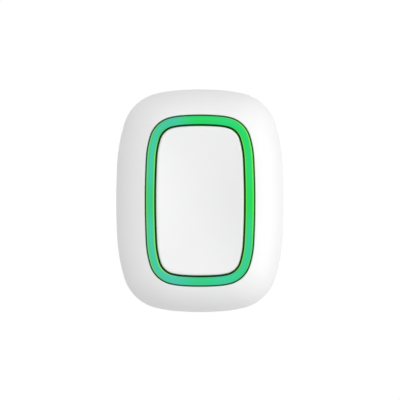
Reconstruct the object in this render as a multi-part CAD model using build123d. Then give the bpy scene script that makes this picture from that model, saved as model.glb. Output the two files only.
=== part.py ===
from build123d import *
from dataclasses import dataclass, replace
from math import atan2, cos, degrees, hypot, radians, sin, sqrt
import os

# A small wireless alarm button, in millimetres.
# X is the width, Y the length, Z the thickness. The back face lies on Z = 0
# and the push pad faces +Z. The lanyard end is at +Y.

# Outline of the body at the parting line of its two shells
BODY_WIDTH = 35.3
BODY_LENGTH = 47.0
BODY_SIDE_RADIUS = 92.0
BODY_END_RADIUS = 54.4
BODY_CORNER_RADIUS = 10.4
PARTING_HEIGHT = 6.4

# Outline of the push pad, inside the body's by a border at the sides and at the ends.
# The ring and the opening follow it.
PAD_SIDE_BORDER = 8.4
PAD_END_BORDER = 7.75
PAD_SIDE_RADIUS = 135.0
PAD_END_RADIUS = 56.0
PAD_CORNER_RADIUS = 4.6

# Coin cell, a standard size
CELL_DIAMETER = 20.0
CELL_HEIGHT = 3.2
CELL_RIM_WIDTH = 1.15
CELL_CAP_STEP = 0.3
CELL_OFFSET = 3.0

# Rear cover
COVER_FLOOR = 1.3
COVER_EDGE_INSET = 2.9
COVER_SKIRT_WALL = 1.0
COVER_SKIRT_RISE = 2.0
COVER_SEAM_HEIGHT = 0.3
COVER_SEAM_DEPTH = 0.35
COVER_POST_SIZE = 2.6
COVER_POST_RIB = 0.9
COVER_SECTIONS = 5
PRY_SLOT_WIDTH = 7.0
PRY_SLOT_HEIGHT = 0.9
PRY_SLOT_DEPTH = 1.1

# Lanyard hole through the back, opening into a pocket at the +Y end
LANYARD_DIAMETER = 2.6
LANYARD_END_DISTANCE = 4.5
LANYARD_TAB = 1.9
LANYARD_POCKET_WIDTH = 5.0
LANYARD_POCKET_HEIGHT = 3.0
LANYARD_POCKET_WALL = 1.1
LANYARD_POCKET_ROOF = 0.9

# Snap beads on the skirt and their pockets in the front housing
SNAP_REACH = 0.4
SNAP_LOW = 0.9
SNAP_CREST = 1.4
SNAP_HIGH = 1.7
SNAP_LENGTH = 5.0
SNAP_SIDE_SPACING = 18.0
SNAP_END_SPACING = 14.0
SNAP_CLEARANCE = 0.1

# Seal between the shells
SEAL_WIDTH = 0.7
SEAL_HEIGHT = 0.8

# Front housing
HOUSING_WALL = 1.5
HOUSING_SKIRT_GAP = 0.1
HOUSING_STRAIGHT = 2.3
HOUSING_SLOPE_INSET = 2.6
HOUSING_LIP = 1.2
HOUSING_LIP_EDGE = 0.15
HOUSING_RIB = 0.8
HOUSING_RIB_GAP = 0.1
HOUSING_RIB_ROOT = 0.375
HOUSING_RIB_SIDE_SPACING = 15.0
HOUSING_RIB_END_SPACING = 10.0
DOME_TURN = 70.5
DOME_SECTIONS = 8

# Ring of clear plastic that spreads the light
RING_WIDTH = 1.62
RING_DEPTH = 3.0
RING_CREST_ABOVE_HOUSING = 0.45
RING_EDGE = 0.35
RING_BORE_EDGE = 0.25
RING_PAD_GAP = 0.4
RING_HOUSING_GAP = 0.28
RING_FLANGE_REACH = 0.9
RING_LEG_THICKNESS = 1.0
RING_LEG_WIDTH = 3.0
RING_LEG_INSET = 0.03
RING_LEG_CHAMFER = 0.3
LED_LEG_GAP = 0.2

# Push pad
PAD_BELOW_RING = 0.3
PAD_EDGE = 0.4
PAD_LAND = 0.2
PAD_DISH_DEPTH = 1.0
PAD_DISH_SECTIONS = 4
PAD_ROOF = 1.3
PAD_WALL = 1.2
PAD_FLANGE_REACH = 1.0
PAD_FLANGE_THICKNESS = 0.85
PAD_STOP_GAP = 0.05
PAD_POST_DIAMETER = 3.0
PAD_RIB = 0.8
PAD_TRAVEL = 0.35
PAD_TRAVEL_ROOM = 0.45

# Inner frame
FRAME_PAD_GAP = 0.25
FRAME_WALL = 1.85
FRAME_DECK = 1.0
FRAME_SWITCH_GAP = 0.4
FRAME_WELL_GAP = 0.15
FRAME_WELL_WALL = 0.7
FRAME_WELL_BELOW_RING = 1.1
FRAME_PIN = 0.9
FRAME_PIN_HOLE = 1.4

# Silicone membrane under the pad
MEMBRANE_SHEET = 0.4
MEMBRANE_SWITCH_GAP = 0.4
MEMBRANE_NUB = 0.5
MEMBRANE_NUB_WIDTH = 5.0
MEMBRANE_FOOT_WIDTH = 9.6
MEMBRANE_SIDE_COUNT = 16
MEMBRANE_FRAME_GAP = 0.1

# Circuit board
BOARD_THICKNESS = 0.8
BOARD_SIDE_GAP = 1.6
BOARD_END_GAP = 1.3
BOARD_CORNER = 4.6

# Tact switch at the middle of the board
SWITCH_SIZE = 6.0
SWITCH_BASE_HEIGHT = 3.1
SWITCH_CORNER = 0.5
SWITCH_WELL_DIAMETER = 4.7
SWITCH_WELL_DEPTH = 2.0
SWITCH_WELL_GAP = 0.25
SWITCH_PLATE = 0.3
SWITCH_TAB_WIDTH = 2.2
SWITCH_TAB_DROP = 1.4
SWITCH_DOME_CROWN = 1.4
SWITCH_DOME_RISE = 0.6
SWITCH_DOME_SHEET = 0.12
SWITCH_PLUNGER_DIAMETER = 3.4
SWITCH_PLUNGER_GAP = 0.1
SWITCH_PLUNGER_RISE = 0.9
SWITCH_PLUNGER_STOP_GAP = 0.05
SWITCH_LEG_WIDTH = 0.7
SWITCH_LEG_SHEET = 0.2
SWITCH_LEG_SPACING = 4.5
SWITCH_LEG_FOOT = 1.2
SWITCH_LEG_HEIGHT = 1.2

# Light sources on the board, one below each leg of the ring
LED_LENGTH = 1.6
LED_WIDTH = 0.8
LED_HEIGHT = 0.6
LED_LENS_INSET = 0.15
LED_BASE_HEIGHT = 0.25

# Radio chip, crystal can and small parts on the board
CHIP_SIZE = 5.0
CHIP_HEIGHT = 0.85
CHIP_CORNER = 0.3
CHIP_PLACE_X_SHARE = -0.42
CHIP_PLACE_Y_SHARE = -0.46
CRYSTAL_LENGTH = 3.2
CRYSTAL_WIDTH = 2.5
CRYSTAL_HEIGHT = 0.7
CRYSTAL_PLACE_X_SHARE = 0.36
CRYSTAL_PLACE_Y_SHARE = -0.5
PASSIVE_LENGTH = 1.0
PASSIVE_WIDTH = 0.5
PASSIVE_HEIGHT = 0.4
PASSIVE_PITCH = 1.7
PASSIVE_ROWS = 2
PASSIVE_COLUMNS = 4
PASSIVE_PLACE_X_SHARE = 0.4
PASSIVE_PLACE_Y_SHARE = 0.36

# Stamped antenna on the board, a raised strip on two legs
ANTENNA_SHEET = 0.3
ANTENNA_HEIGHT = 2.2
ANTENNA_STRIP = 1.2
ANTENNA_LENGTH = 13.0
ANTENNA_RETURN = 3.0
ANTENNA_FOOT = 1.0
ANTENNA_PLACE_Y_SHARE = 0.6

# Holder and contacts of the coin cell, below the board
HOLDER_GAP = 0.15
HOLDER_WALL = 1.0
HOLDER_RISE = 0.6
HOLDER_BAND = 0.7
HOLDER_CONTACT_GAP = 0.1
HOLDER_MOUTH_ANGLE = 70.0
HOLDER_WINDOW_GAP = 0.4
CONTACT_SHEET = 0.2
CONTACT_WIDTH = 3.6
CONTACT_FOOT = 1.8
CONTACT_SPRING_ROOM = 1.4
CONTACT_SPRING_SPAN = 11.0
CONTACT_SPRING_MIDDLE = 4.0
CONTACT_TOUCH_LENGTH = 1.2
CELL_FLOOR_GAP = 0.4

# Straight stretches of a hidden wall along half a side, a corner and half an end
SIDE_STRETCH_COUNT = 2
CORNER_STRETCH_COUNT = 4

# One length by which every cutting tool runs past what it cuts
OVERRUN = 3.0


@dataclass(frozen=True)
class Outline:
    """A rounded rectangle whose sides and ends are crowned arcs, tangent to round corners.

    A hidden wall follows the same outline in a few straight stretches.
    """

    half_width: float
    half_length: float
    side_radius: float
    end_radius: float
    corner_radius: float
    hidden: bool = False

    def sizes(self):
        """The five lengths of the outline."""
        return (
            self.half_width,
            self.half_length,
            self.side_radius,
            self.end_radius,
            self.corner_radius,
        )

    def grown(self, by):
        """The parallel outline, further out by the given distance."""
        return Outline(*[size + by for size in self.sizes()], self.hidden)

    def toward(self, other, share):
        """The outline at a share of the way to another one."""
        pairs = zip(self.sizes(), other.sizes())
        return Outline(*[mine + share * (theirs - mine) for mine, theirs in pairs], self.hidden)

    def inside(self, by):
        """The outline of a hidden wall, further out by the given distance."""
        return replace(self.grown(by), hidden=True)

    def side_centre(self):
        """Where the arc of the +X side has its centre, on the X axis."""
        return self.half_width - self.side_radius

    def end_centre(self):
        """Where the arc of the +Y end has its centre, on the Y axis."""
        return self.half_length - self.end_radius

    def corner_centre(self):
        """The centre of the corner arc that touches the side arc and the end arc."""
        side_reach = self.side_radius - self.corner_radius
        end_reach = self.end_radius - self.corner_radius
        across = hypot(self.side_centre(), self.end_centre())
        along = (side_reach**2 - end_reach**2 + across**2) / (2 * across)
        off = sqrt(side_reach**2 - along**2)
        unit_x = -self.side_centre() / across
        unit_y = self.end_centre() / across
        x = self.side_centre() + along * unit_x - off * unit_y
        y = along * unit_y + off * unit_x
        return x, y

    def turns(self):
        """The angles at which side arc, corner arc and end arc meet, and the corner's middle."""
        x, y = self.corner_centre()
        side_turn = atan2(y, x - self.side_centre())
        end_turn = atan2(y - self.end_centre(), x)
        return side_turn, (side_turn + end_turn) / 2, end_turn

    def shared_turns(self):
        """The ways in which a hidden wall's points face, from the side round to the end."""
        side_turn, middle_turn, end_turn = self.turns()
        spans = (
            (0, side_turn, SIDE_STRETCH_COUNT),
            (side_turn, end_turn, CORNER_STRETCH_COUNT),
            (end_turn, radians(90), SIDE_STRETCH_COUNT),
        )
        return [
            first + (last - first) * step / count
            for first, last, count in spans
            for step in range(count)
        ]

    def corner_point(self):
        """The middle of the corner arc."""
        x, y = self.corner_centre()
        middle_turn = self.turns()[1]
        return x + self.corner_radius * cos(middle_turn), y + self.corner_radius * sin(middle_turn)

    def point(self, turn):
        """The point of the first quarter where the outline faces the given way."""
        side_turn, middle_turn, end_turn = self.turns()
        if turn < side_turn:
            x, y, radius = self.side_centre(), 0, self.side_radius
        elif turn < end_turn:
            x, y = self.corner_centre()
            radius = self.corner_radius
        else:
            x, y, radius = 0, self.end_centre(), self.end_radius
        return x + radius * cos(turn), y + radius * sin(turn)

    def stretches(self, z):
        """The closed outline at a height, in straight stretches between points on its arcs."""
        quarter = [self.point(turn) for turn in HIDDEN_TURNS]
        left = [(-x, y) for x, y in reversed(quarter[1:])]
        upper = quarter + [(0, self.half_length)] + left
        around = upper + [(-self.half_width, 0)] + [(-x, -y) for x, y in upper[1:]]
        return Wire.make_polygon([Vector(x, y, z) for x, y in around], close=True)

    def wire(self, z):
        """The closed outline at a height, as eight tangent arcs or as straight stretches."""
        if self.hidden:
            return self.stretches(z)
        side_turn, middle_turn, end_turn = self.turns()
        side_x = self.side_centre() + self.side_radius * cos(side_turn)
        side_y = self.side_radius * sin(side_turn)
        end_x = self.end_radius * cos(end_turn)
        end_y = self.end_centre() + self.end_radius * sin(end_turn)
        corner_x, corner_y = self.corner_point()
        quarter = [
            (self.half_width, 0),
            (side_x, side_y),
            (corner_x, corner_y),
            (end_x, end_y),
        ]
        top_left = [(-x, y) for x, y in reversed(quarter)]
        bottom_left = [(-x, -y) for x, y in quarter]
        bottom_right = [(x, -y) for x, y in reversed(quarter)]
        end_top = [(0, self.half_length)]
        end_bottom = [(0, -self.half_length)]
        around = quarter + end_top + top_left + bottom_left[1:] + end_bottom + bottom_right[:-1]
        points = [Vector(x, y, z) for x, y in around]
        count = len(points)
        arcs = []
        for index in range(1, count, 2):
            ends = points[index], points[(index + 1) % count], points[(index + 2) % count]
            arcs.append(Edge.make_three_point_arc(*ends))
        return Wire(arcs)

    def prism(self, low, high):
        """A straight solid between two heights."""
        return extrude(Face(self.wire(low)), high - low)


def outline_loft(sections):
    """A solid through outlines at their heights, straight from each to the next."""
    return Solid.make_loft([outline.wire(z) for outline, z in sections], ruled=True)


def box_between(low, high):
    """A box from its lowest corner to its highest."""
    sizes = [b - a for a, b in zip(low, high)]
    place = [(a + b) / 2 for a, b in zip(low, high)]
    return Pos(*place) * Box(*sizes)


def disc(diameter, low, high, x=0, y=0):
    """An upright cylinder between two heights."""
    middle = (low + high) / 2
    return Pos(x, y, middle) * Cylinder(diameter / 2, high - low)


def four_ways(x, y):
    """A place and its mirror places in X and Y."""
    return [(x, y), (-x, y), (-x, -y), (x, -y)]


# Outlines, from the pad outwards and from the body inwards
BODY = Outline(
    BODY_WIDTH / 2, BODY_LENGTH / 2, BODY_SIDE_RADIUS, BODY_END_RADIUS, BODY_CORNER_RADIUS
)
PAD = Outline(
    BODY.half_width - PAD_SIDE_BORDER,
    BODY.half_length - PAD_END_BORDER,
    PAD_SIDE_RADIUS,
    PAD_END_RADIUS,
    PAD_CORNER_RADIUS,
)
RING_INNER = PAD.grown(RING_PAD_GAP)
RING_OUTER = RING_INNER.grown(RING_WIDTH)
OPENING = RING_OUTER.grown(RING_HOUSING_GAP)
HIDDEN_TURNS = BODY.shared_turns()
RING_FLANGE = RING_OUTER.inside(RING_FLANGE_REACH)
PAD_FLANGE = PAD.inside(PAD_FLANGE_REACH)
PAD_HOLLOW = PAD.inside(-PAD_WALL)
FRAME_INNER = PAD_FLANGE.grown(FRAME_PAD_GAP)
FRAME_OUTER = FRAME_INNER.grown(FRAME_WALL)
HOUSING_INNER = BODY.inside(-HOUSING_WALL)
SKIRT_OUTER = HOUSING_INNER.grown(-HOUSING_SKIRT_GAP)
SKIRT_INNER = SKIRT_OUTER.grown(-COVER_SKIRT_WALL)
BOARD_HALF_WIDTH = SKIRT_INNER.half_width - BOARD_SIDE_GAP
BOARD_HALF_LENGTH = SKIRT_INNER.half_length - BOARD_END_GAP

# Heights, each from what lies below it
CELL_LOW = COVER_FLOOR + CELL_FLOOR_GAP
CELL_TOP = CELL_LOW + CELL_HEIGHT
BOARD_LOW = CELL_TOP + CONTACT_SPRING_ROOM
BOARD_TOP = BOARD_LOW + BOARD_THICKNESS
LED_TOP = BOARD_TOP + LED_HEIGHT
SWITCH_BASE_TOP = BOARD_TOP + SWITCH_BASE_HEIGHT
SWITCH_TOP = SWITCH_BASE_TOP + SWITCH_PLATE
PLUNGER_TOP = SWITCH_TOP + SWITCH_PLUNGER_RISE
DECK_TOP = SWITCH_TOP + MEMBRANE_SWITCH_GAP
DECK_LOW = DECK_TOP - FRAME_DECK
SHEET_TOP = DECK_TOP + MEMBRANE_SHEET
NUB_TOP = PLUNGER_TOP + MEMBRANE_NUB
PAD_LOW = SHEET_TOP + PAD_TRAVEL + PAD_TRAVEL_ROOM
PAD_FLANGE_TOP = PAD_LOW + PAD_FLANGE_THICKNESS
RING_LOW = PAD_FLANGE_TOP + PAD_STOP_GAP
RING_TOP = RING_LOW + RING_DEPTH
PAD_TOP = RING_TOP - PAD_BELOW_RING
LIP_TOP = RING_TOP - RING_CREST_ABOVE_HOUSING
LIP_LOW = LIP_TOP - HOUSING_LIP
SKIRT_TOP = PARTING_HEIGHT + COVER_SKIRT_RISE
STRAIGHT_TOP = PARTING_HEIGHT + HOUSING_STRAIGHT
WELL_TOP = RING_LOW - FRAME_WELL_BELOW_RING
LEG_LOW = LED_TOP + LED_LEG_GAP

# Places that several pieces share
LEG_CENTRE_INSET = RING_LEG_THICKNESS / 2 + RING_LEG_INSET
LEG_X = RING_FLANGE.half_width - LEG_CENTRE_INSET
LEG_Y = RING_FLANGE.half_length - LEG_CENTRE_INSET
POST_PLACES = four_ways(*FRAME_INNER.grown(FRAME_WALL / 2).corner_point())
PIN_PLACES = POST_PLACES[::2]
CELL_Y = -CELL_OFFSET
LANYARD_Y = BODY.half_length - LANYARD_END_DISTANCE


def dome_form():
    """The full outer form of the front housing.

    Its section is part of an ellipse: upright at the parting line and gently
    sloped where it meets the ring's opening.
    """
    full_turn = radians(DOME_TURN)
    rise = LIP_TOP - PARTING_HEIGHT
    sections = []
    for step in range(DOME_SECTIONS + 1):
        turn = full_turn * step / DOME_SECTIONS
        inward = (1 - cos(turn)) / (1 - cos(full_turn))
        height = PARTING_HEIGHT + rise * sin(turn) / sin(full_turn)
        sections.append((BODY.toward(OPENING, inward), height))
    return outline_loft(sections)


def housing_hollow(by, low):
    """The hollow of the front housing, or a form parallel to it: upright, then sloped."""
    upright = HOUSING_INNER.grown(by)
    top = upright.grown(-HOUSING_SLOPE_INSET)
    return outline_loft([(upright, low), (upright, STRAIGHT_TOP), (top, RING_LOW)])


def snap_band(clearance):
    """The ridge all round the skirt, from which the snap beads and their pockets are cut."""
    low = PARTING_HEIGHT + SNAP_LOW - clearance
    crest = PARTING_HEIGHT + SNAP_CREST
    high = PARTING_HEIGHT + SNAP_HIGH + clearance
    root = SKIRT_OUTER.grown(-clearance)
    tip = SKIRT_OUTER.grown(SNAP_REACH + clearance)
    band = outline_loft([(root, low), (tip, crest), (root, high)])
    return band - SKIRT_OUTER.grown(-COVER_SKIRT_WALL / 2).prism(low, high)


def snap_segments(clearance):
    """The stretches of that ridge that are beads, or pockets with a clearance."""
    half = SNAP_LENGTH / 2 + clearance
    reach_x = BODY.half_width
    reach_y = BODY.half_length
    stretches = []
    for y in (-SNAP_SIDE_SPACING / 2, SNAP_SIDE_SPACING / 2):
        stretches.append(box_between((-reach_x, y - half, 0), (reach_x, y + half, RING_TOP)))
    for x in (-SNAP_END_SPACING / 2, SNAP_END_SPACING / 2):
        stretches.append(box_between((x - half, -reach_y, 0), (x + half, reach_y, RING_TOP)))
    return snap_band(clearance) & (Part() + stretches)


def housing_ribs():
    """Upright ribs inside the dome that centre the inner frame."""
    half = HOUSING_RIB / 2
    reach_x = BODY.half_width
    reach_y = BODY.half_length
    fins = []
    for y in (-HOUSING_RIB_SIDE_SPACING / 2, HOUSING_RIB_SIDE_SPACING / 2):
        low = (-reach_x, y - half, STRAIGHT_TOP)
        fins.append(box_between(low, (reach_x, y + half, RING_LOW)))
    for x in (-HOUSING_RIB_END_SPACING / 2, HOUSING_RIB_END_SPACING / 2):
        low = (x - half, -reach_y, STRAIGHT_TOP)
        fins.append(box_between(low, (x + half, reach_y, RING_LOW)))
    rooted = housing_hollow(HOUSING_RIB_ROOT, PARTING_HEIGHT)
    clear = FRAME_OUTER.grown(HOUSING_RIB_GAP).prism(0, RING_TOP)
    return ((Part() + fins) & rooted) - clear


def front_housing():
    """The domed front shell with its opening, lip, ribs, snap pockets and seal step."""
    shell = dome_form() - housing_hollow(0, PARTING_HEIGHT)
    shell = shell - FRAME_OUTER.grown(HOUSING_RIB_GAP).prism(PARTING_HEIGHT, LIP_LOW)
    shell = shell - OPENING.prism(PARTING_HEIGHT, RING_TOP + OVERRUN)
    lip_edges = shell.edges().filter_by(
        lambda edge: abs(edge.center().Z - LIP_TOP) < HOUSING_LIP_EDGE
    )
    shell = chamfer(lip_edges, HOUSING_LIP_EDGE)
    shell = shell + housing_ribs()
    shell = shell - snap_segments(SNAP_CLEARANCE)
    seal_step = SKIRT_OUTER.grown(SEAL_WIDTH + HOUSING_SKIRT_GAP)
    return shell - seal_step.prism(PARTING_HEIGHT, PARTING_HEIGHT + SEAL_HEIGHT)


def cover_form():
    """The outer form of the rear cover: flat below and rounded up to the parting line."""
    sections = []
    for step in range(COVER_SECTIONS + 1):
        turn = radians(90) * step / COVER_SECTIONS
        inset = COVER_EDGE_INSET * (1 - sin(turn))
        height = PARTING_HEIGHT * (1 - cos(turn))
        sections.append((BODY.grown(-inset), height))
    return outline_loft(sections)


def lanyard_block(wall, low, high):
    """The block round the lanyard pocket, or with no wall the pocket itself."""
    half = LANYARD_POCKET_WIDTH / 2 + wall
    inner_y = LANYARD_Y - LANYARD_DIAMETER / 2 - wall
    return box_between((-half, inner_y, low), (half, BODY.half_length + OVERRUN, high))


def cross_post(x, y):
    """A post of two crossed ribs from the cover's floor up to the board."""
    long = COVER_POST_SIZE / 2
    short = COVER_POST_RIB / 2
    ribs = []
    for reach_x, reach_y in ((long, short), (short, long)):
        low = (x - reach_x, y - reach_y, COVER_FLOOR)
        ribs.append(box_between(low, (x + reach_x, y + reach_y, BOARD_LOW)))
    return ribs[0] + ribs[1]


def rear_cover():
    """The snap-on back shell with its skirt, posts, beads, seam and lanyard hole."""
    form = cover_form()
    form = form + SKIRT_OUTER.prism(PARTING_HEIGHT, SKIRT_TOP)
    hollow = SKIRT_INNER.prism(COVER_FLOOR, SKIRT_TOP + OVERRUN)
    pocket_top = LANYARD_TAB + LANYARD_POCKET_HEIGHT
    roof_top = pocket_top + LANYARD_POCKET_ROOF
    hollow = hollow - lanyard_block(LANYARD_POCKET_WALL, 0, roof_top)
    cover = form - hollow
    cover = cover - lanyard_block(0, LANYARD_TAB, pocket_top)
    cover = cover - disc(LANYARD_DIAMETER, -OVERRUN, pocket_top, 0, LANYARD_Y)
    for x, y in POST_PLACES:
        cover = cover + cross_post(x, y)
    cover = cover + snap_segments(0)
    seam_low = PARTING_HEIGHT - COVER_SEAM_HEIGHT
    seam = BODY.grown(OVERRUN).prism(seam_low, PARTING_HEIGHT)
    cover = cover - (seam - BODY.grown(-COVER_SEAM_DEPTH).prism(seam_low, PARTING_HEIGHT))
    slot = box_between(
        (-PRY_SLOT_WIDTH / 2, -BODY.half_length - OVERRUN, PARTING_HEIGHT - PRY_SLOT_HEIGHT),
        (PRY_SLOT_WIDTH / 2, -BODY.half_length + PRY_SLOT_DEPTH, PARTING_HEIGHT),
    )
    return cover - slot


def case_seal():
    """The silicone ring that lies in the step between the two shells."""
    outer = SKIRT_OUTER.grown(SEAL_WIDTH + HOUSING_SKIRT_GAP / 2)
    inner = SKIRT_OUTER.grown(HOUSING_SKIRT_GAP / 2)
    high = PARTING_HEIGHT + SEAL_HEIGHT
    return outer.prism(PARTING_HEIGHT, high) - inner.prism(PARTING_HEIGHT, high)


def leg_boxes(gap, low, high):
    """The four legs of the ring, or with a gap the wells round them."""
    radial = RING_LEG_THICKNESS / 2 + gap
    tangential = RING_LEG_WIDTH / 2 + gap
    boxes = []
    for side in (-1, 1):
        x = side * LEG_X
        y = side * LEG_Y
        boxes.append(box_between((x - radial, -tangential, low), (x + radial, tangential, high)))
        boxes.append(box_between((-tangential, y - radial, low), (tangential, y + radial, high)))
    return boxes


def light_ring():
    """The clear ring: an edged crest, a flange below the lip and four legs."""
    shoulder = RING_TOP - RING_EDGE
    narrowed = RING_OUTER.grown(-RING_EDGE)
    crest = outline_loft([(RING_OUTER, RING_LOW), (RING_OUTER, shoulder), (narrowed, RING_TOP)])
    crest = crest - RING_INNER.prism(RING_LOW, RING_TOP)
    bore_rim = crest.faces().sort_by(Axis.Z)[-1].inner_wires()[0].edges()
    crest = chamfer(bore_rim, RING_BORE_EDGE)
    flange = RING_FLANGE.prism(RING_LOW, LIP_LOW) - RING_INNER.prism(RING_LOW, LIP_LOW)
    legs = []
    for box in leg_boxes(0, LEG_LOW, RING_LOW):
        foot = box.faces().sort_by(Axis.Z)[0].edges()
        legs.append(chamfer(foot, RING_LEG_CHAMFER))
    return crest + flange + legs


def dish_cutter():
    """What the finger dish takes away: arcs across the pad that flatten towards its ends."""
    half_width = PAD.half_width - PAD_EDGE - PAD_LAND
    half_length = PAD.half_length - PAD_EDGE - PAD_LAND
    shallowest = PAD_DISH_DEPTH / PAD_DISH_SECTIONS**3
    sections = []
    for step in range(-PAD_DISH_SECTIONS, PAD_DISH_SECTIONS + 1):
        share = step / PAD_DISH_SECTIONS
        y = share * half_length
        depth = max(PAD_DISH_DEPTH * (1 - share**2), shallowest)
        left = Vector(-half_width, y, PAD_TOP)
        low = Vector(0, y, PAD_TOP - depth)
        right = Vector(half_width, y, PAD_TOP)
        high_right = Vector(half_width, y, PAD_TOP + OVERRUN)
        high_left = Vector(-half_width, y, PAD_TOP + OVERRUN)
        arc = Edge.make_three_point_arc(left, low, right)
        sides = Polyline(right, high_right, high_left, left)
        sections.append(Wire([arc, *sides.edges()]))
    return Solid.make_loft(sections)


def button_cap():
    """The push pad: dished and edged, hollow below, with a flange, ribs and a post."""
    shoulder = PAD_TOP - PAD_EDGE
    narrowed = PAD.grown(-PAD_EDGE)
    pad = outline_loft([(PAD, PAD_LOW), (PAD, shoulder), (narrowed, PAD_TOP)])
    pad = pad - dish_cutter()
    pad = pad + PAD_FLANGE.prism(PAD_LOW, PAD_FLANGE_TOP)
    roof = PAD_TOP - PAD_DISH_DEPTH - PAD_ROOF
    pad = pad - PAD_HOLLOW.prism(PAD_LOW - OVERRUN, roof)
    inner = PAD_HOLLOW.grown(PAD_WALL / 2)
    half_rib = PAD_RIB / 2
    long_rib = (half_rib, inner.half_length)
    cross_rib = (inner.half_width, half_rib)
    for half_x, half_y in (long_rib, cross_rib):
        pad = pad + box_between((-half_x, -half_y, PAD_LOW), (half_x, half_y, roof + half_rib))
    return pad + disc(PAD_POST_DIAMETER, NUB_TOP, roof + half_rib)


def tapered(width, low, top_width, high):
    """A many-sided hidden solid about the switch, narrowing upwards."""
    taper = degrees(atan2((width - top_width) / 2, high - low))
    foot = Pos(0, 0, low) * RegularPolygon(width / 2, MEMBRANE_SIDE_COUNT)
    return extrude(foot, high - low, taper=taper)


def cap_membrane():
    """The silicone sheet on the frame's deck, raised over the switch up to a nub."""
    sheet = FRAME_INNER.grown(-MEMBRANE_FRAME_GAP).prism(DECK_TOP, SHEET_TOP)
    raised = tapered(MEMBRANE_FOOT_WIDTH, SHEET_TOP, MEMBRANE_NUB_WIDTH, NUB_TOP)
    hollow_foot = MEMBRANE_FOOT_WIDTH - 2 * MEMBRANE_SHEET
    hollow = tapered(hollow_foot, DECK_TOP, MEMBRANE_NUB_WIDTH, PLUNGER_TOP)
    return sheet + raised - hollow


def inner_frame():
    """The carrier: a wall below the ring, a deck for the membrane, light wells and two pins."""
    wall = FRAME_OUTER.prism(BOARD_TOP, RING_LOW) - FRAME_INNER.prism(BOARD_TOP, RING_LOW)
    deck = FRAME_INNER.grown(FRAME_WALL / 2).prism(DECK_LOW, DECK_TOP)
    half_switch = SWITCH_SIZE / 2 + FRAME_SWITCH_GAP
    window = box_between((-half_switch, -half_switch, 0), (half_switch, half_switch, RING_TOP))
    frame = wall + (deck - window)
    reach = FRAME_WELL_GAP + FRAME_WELL_WALL
    outside = Part() + leg_boxes(reach, BOARD_TOP, WELL_TOP)
    frame = frame + (outside - FRAME_INNER.prism(0, RING_TOP))
    frame = frame - (Part() + leg_boxes(FRAME_WELL_GAP, BOARD_TOP - OVERRUN, RING_TOP))
    half_pin = FRAME_PIN / 2
    for x, y in PIN_PLACES:
        low = (x - half_pin, y - half_pin, BOARD_LOW)
        frame = frame + box_between(low, (x + half_pin, y + half_pin, BOARD_TOP))
    return frame


def circuit_board():
    """The board with straight edges, cut corners and two pin holes."""
    low = (-BOARD_HALF_WIDTH, -BOARD_HALF_LENGTH, BOARD_LOW)
    board = box_between(low, (BOARD_HALF_WIDTH, BOARD_HALF_LENGTH, BOARD_TOP))
    board = chamfer(board.edges().filter_by(Axis.Z), BOARD_CORNER)
    for x, y in PIN_PLACES:
        board = board - disc(FRAME_PIN_HOLE, BOARD_LOW, BOARD_TOP, x, y)
    return board


def switch_base():
    """The moulded base with the round well in which dome and plunger sit."""
    half = SWITCH_SIZE / 2
    base = box_between((-half, -half, BOARD_TOP), (half, half, SWITCH_BASE_TOP))
    base = chamfer(base.edges().filter_by(Axis.Z), SWITCH_CORNER)
    return base - disc(SWITCH_WELL_DIAMETER, SWITCH_BASE_TOP - SWITCH_WELL_DEPTH, SWITCH_TOP)


def switch_frame():
    """The pressed cover plate with two tabs folded down the base's sides."""
    half = SWITCH_SIZE / 2
    half_tab = SWITCH_TAB_WIDTH / 2
    plate = box_between((-half, -half, SWITCH_BASE_TOP), (half, half, SWITCH_TOP))
    plate = chamfer(plate.edges().filter_by(Axis.Z), SWITCH_CORNER)
    plate = plate - disc(
        SWITCH_PLUNGER_DIAMETER + 2 * SWITCH_PLUNGER_GAP, SWITCH_BASE_TOP, SWITCH_TOP
    )
    for side in (-1, 1):
        near = side * half
        far = side * (half + SWITCH_PLATE)
        low = (-half_tab, min(near, far), SWITCH_BASE_TOP - SWITCH_TAB_DROP)
        plate = plate + box_between(low, (half_tab, max(near, far), SWITCH_TOP))
    return plate


def bent_strip(right, width):
    """A strip of sheet along X, bent to a section that is the same on both sides."""
    left = [(-x, z) for x, z in reversed(right)]
    section = make_face(Polyline(*right, *left, close=True))
    return extrude(Plane.XZ * section, width / 2, both=True)


def switch_dome():
    """The sprung metal cross in the switch's well: a raised crown on four sloping legs."""
    reach = SWITCH_WELL_DIAMETER / 2 - SWITCH_WELL_GAP
    crown = SWITCH_DOME_CROWN / 2
    low = SWITCH_BASE_TOP - SWITCH_WELL_DEPTH
    high = low + SWITCH_DOME_RISE
    right = [
        (crown, high),
        (reach, low + SWITCH_DOME_SHEET),
        (reach, low),
        (crown, high - SWITCH_DOME_SHEET),
    ]
    strip = bent_strip(right, SWITCH_DOME_CROWN)
    return strip + Rot(0, 0, 90) * strip


def switch_plunger():
    """The plunger: a foot on the dome, held under the plate, and a stem up to the membrane."""
    foot_low = SWITCH_BASE_TOP - SWITCH_WELL_DEPTH + SWITCH_DOME_RISE
    foot_high = SWITCH_BASE_TOP - SWITCH_PLUNGER_STOP_GAP
    foot = disc(SWITCH_WELL_DIAMETER - 2 * SWITCH_WELL_GAP, foot_low, foot_high)
    return foot + disc(SWITCH_PLUNGER_DIAMETER, foot_high, PLUNGER_TOP)


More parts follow.
